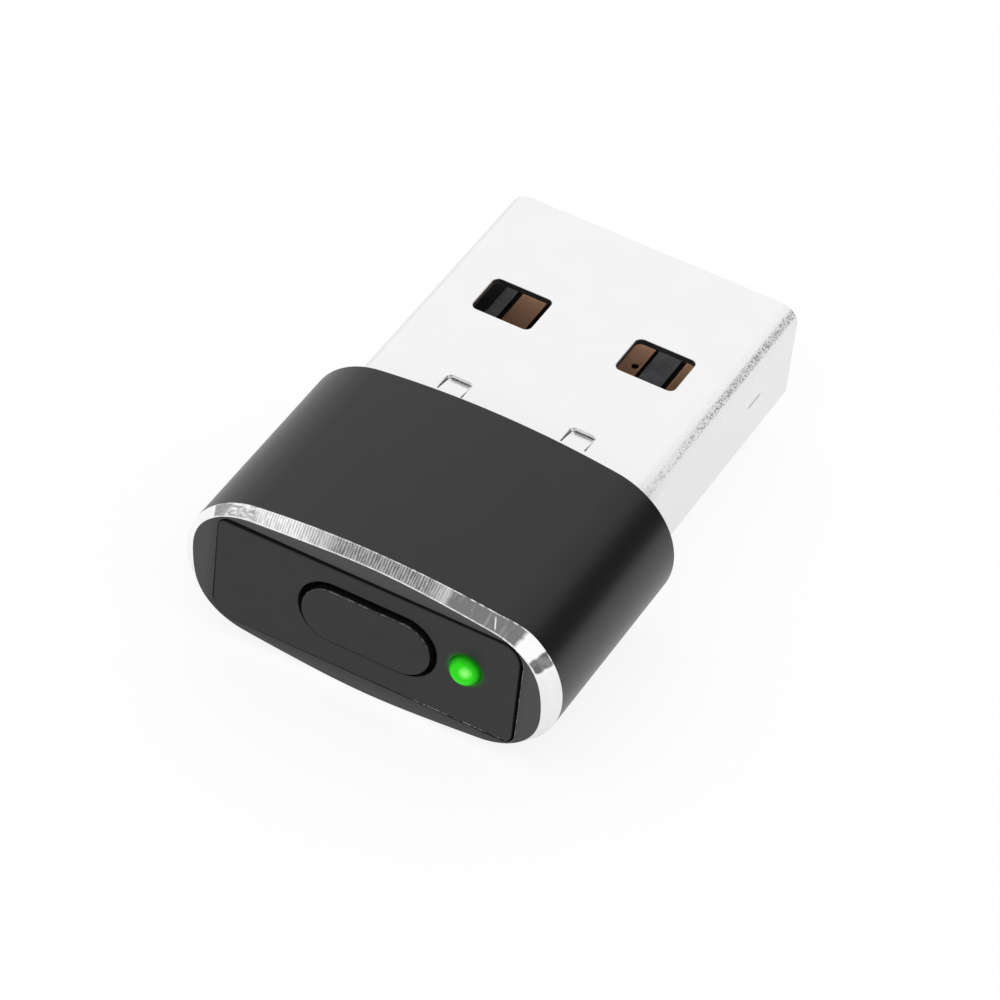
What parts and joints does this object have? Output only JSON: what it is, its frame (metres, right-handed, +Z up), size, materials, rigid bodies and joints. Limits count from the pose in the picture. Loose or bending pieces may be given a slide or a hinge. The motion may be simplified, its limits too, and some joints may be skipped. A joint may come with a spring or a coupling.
{
  "type": "usb mouse jiggler",
  "caption": "Short USB-A dongle with an oval aluminium sleeve, a long push button and a round green light, which keeps a computer's pointer moving.",
  "frame": {"origin": "where the plug's centre line crosses the sleeve's rear face, from which the plug sticks out", "axes": "+Y the way the plug goes into its socket, +X to the right as the button face is looked at, +Z up, towards the side with the locking tabs"},
  "size_m": [0.0148, 0.0217, 0.0066],
  "materials": {
    "sleeve_anodised": "satin black anodised, with a bright machined rim",
    "plug_steel": "bright nickel-plated folded sheet",
    "insulator_plastic": "black moulded",
    "contact_plating": "thin gold over copper alloy",
    "case_plastic": "fine matte",
    "button_plastic": "fine matte",
    "lens_green": "clear, lit green",
    "led_body": "white moulded",
    "board_laminate": "green solder mask",
    "switch_plastic": "black moulded",
    "plunger_plastic": "natural",
    "switch_steel": "tinned sheet",
    "spring_steel": "bright spring strip",
    "solder_tin": "bright tin",
    "chip_resin": "black moulding compound",
    "capacitor_ceramic": "fired",
    "resistor_glaze": "black glaze"
  },
  "bodies": {
    "dongle": {"sleeve": "sleeve_anodised", "plug_shell": "plug_steel", "plug_insulator": "insulator_plastic", "contact_vbus": "contact_plating", "contact_dminus": "contact_plating", "contact_dplus": "contact_plating", "contact_gnd": "contact_plating", "solder_joints": "solder_tin", "housing": "case_plastic", "housing_cover": "case_plastic", "circuit_board": "board_laminate", "led_lens": "lens_green", "led_package": "led_body", "led_terminals": "solder_tin", "switch_base": "switch_plastic", "switch_cover": "switch_steel", "switch_dome": "spring_steel", "switch_terminals": "solder_tin", "microcontroller": "chip_resin", "microcontroller_pads": "solder_tin", "chip_capacitors": "capacitor_ceramic", "chip_resistors": "resistor_glaze", "chip_end_caps": "solder_tin"},
    "button": {"button": "button_plastic"},
    "switch_plunger": {"switch_plunger": "plunger_plastic"}
  },
  "joints": [
    {"name": "button_press", "type": "slide", "parent": "dongle", "child": "button", "axis": [0, 1, 0], "range_m": [0, 0.00025], "stiffness_N_per_m": 400, "springref_m": -0.0005, "deforming": ["switch_dome"]},
    {"name": "plunger_press", "type": "slide", "parent": "dongle", "child": "switch_plunger", "axis": [0, 1, 0], "range_m": [0, 0.00025]}
  ],
  "couplings": [
    {"joint": "plunger_press", "follows": "button_press", "ratio": 1}
  ]
}
